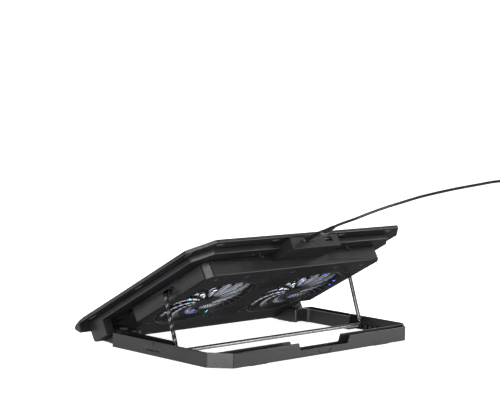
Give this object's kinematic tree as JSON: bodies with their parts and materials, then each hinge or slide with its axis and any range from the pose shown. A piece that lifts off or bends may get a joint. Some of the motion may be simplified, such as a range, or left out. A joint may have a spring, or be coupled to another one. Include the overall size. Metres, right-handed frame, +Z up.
{
  "type": "laptop cooling pad",
  "caption": "Tilting laptop cooling pad: perforated deck over fans, carried on a U-shaped folding base by a wire bail, with USB ports and a lead at the back.",
  "frame": {"origin": "centre of the pad's own box, at the table surface, without the cord", "axes": "+X to the user's right along the hinge, +Y from the user towards the back, +Z up"},
  "size_m": [0.4639, 0.4064, 0.2107],
  "materials": {
    "charcoal_plastic": "fine moulded texture, satin",
    "black_plastic": "smooth satin black",
    "black_rubber": "matt",
    "bright_steel": "plated",
    "bail_wire": "bright plated round wire",
    "mesh_metal": "black powder coat, perforated",
    "blade_plastic": "pale translucent blue-grey",
    "motor_copper": "enamelled copper winding",
    "led_lens": "clear lens",
    "circuit_board": "green solder mask",
    "cord_jacket": "soft black jacket"
  },
  "bodies": {
    "base": {"base_frame": "charcoal_plastic", "base_foot_back_left": "black_rubber", "base_foot_back_right": "black_rubber", "base_foot_front_left": "black_rubber", "base_foot_front_right": "black_rubber", "base_rest_front_left": "black_rubber", "base_rest_front_right": "black_rubber", "hinge_pin_left": "bright_steel", "hinge_pin_right": "bright_steel", "usb_cord": "cord_jacket", "usb_cord_coil": "cord_jacket", "usb_cord_end": "cord_jacket", "usb_plug_far": "black_plastic"},
    "tray": {"lower_housing": "charcoal_plastic", "upper_rim": "charcoal_plastic", "deck_frame": "charcoal_plastic", "deck_mesh_panel": "mesh_metal", "deck_grip_strip_left": "black_rubber", "deck_grip_strip_right": "black_rubber", "housing_screw_1": "bright_steel", "housing_screw_2": "bright_steel", "housing_screw_3": "bright_steel", "housing_screw_4": "bright_steel", "housing_screw_5": "bright_steel", "housing_screw_6": "bright_steel", "housing_screw_7": "bright_steel", "fan_guard_left": "black_plastic", "fan_guard_right": "black_plastic", "fan_frame_left": "black_plastic", "fan_frame_right": "black_plastic", "fan_motor_left": "motor_copper", "fan_motor_right": "motor_copper", "fan_led_left_a": "led_lens", "fan_led_left_b": "led_lens", "fan_led_right_a": "led_lens", "fan_led_right_b": "led_lens", "fan_screw_left_1": "bright_steel", "fan_screw_left_2": "bright_steel", "fan_screw_left_3": "bright_steel", "fan_screw_left_4": "bright_steel", "fan_screw_right_1": "bright_steel", "fan_screw_right_2": "bright_steel", "fan_screw_right_3": "bright_steel", "fan_screw_right_4": "bright_steel", "fan_lead_left": "black_rubber", "fan_lead_right": "black_rubber", "usb_block": "charcoal_plastic", "usb_port_left": "bright_steel", "usb_port_right": "bright_steel", "usb_board": "circuit_board", "usb_plug_near": "black_plastic", "bail_bush_left": "black_plastic", "bail_bush_right": "black_plastic", "stop_pin_left": "bright_steel", "stop_pin_right": "bright_steel"},
    "bail": {"wire_bail": "bail_wire"},
    "rotor_left": {"fan_rotor_left": "blade_plastic"},
    "rotor_right": {"fan_rotor_right": "blade_plastic"},
    "stop_left": {"laptop_stop_left": "charcoal_plastic"},
    "stop_right": {"laptop_stop_right": "charcoal_plastic"}
  },
  "joints": [
    {"name": "tray_tilt", "type": "hinge", "parent": "base", "child": "tray", "pos_m": [0, -0.0932, 0.0131], "axis": [1, 0, 0], "range_deg": [-30.23, 0]},
    {"name": "bail_swing", "type": "hinge", "parent": "tray", "child": "bail", "pos_m": [0, 0.0119, 0.07307], "axis": [1, 0, 0], "range_deg": [0, 98.6]},
    {"name": "fan_spin_left", "type": "hinge", "parent": "tray", "child": "rotor_left", "pos_m": [-0.0774, -0.01146, 0.06073], "axis": [0, -0.5035, 0.864], "continuous": true},
    {"name": "fan_spin_right", "type": "hinge", "parent": "tray", "child": "rotor_right", "pos_m": [0.0774, -0.01146, 0.06073], "axis": [0, -0.5035, 0.864], "continuous": true},
    {"name": "stop_fold_left", "type": "hinge", "parent": "tray", "child": "stop_left", "pos_m": [-0.095, -0.09724, 0.02996], "axis": [1, 0, 0], "range_deg": [-90, 0]},
    {"name": "stop_fold_right", "type": "hinge", "parent": "tray", "child": "stop_right", "pos_m": [0.095, -0.09724, 0.02996], "axis": [1, 0, 0], "range_deg": [-90, 0]}
  ],
  "couplings": [
    {"joint": "bail_swing", "follows": "tray_tilt", "ratio": -3.26}
  ]
}
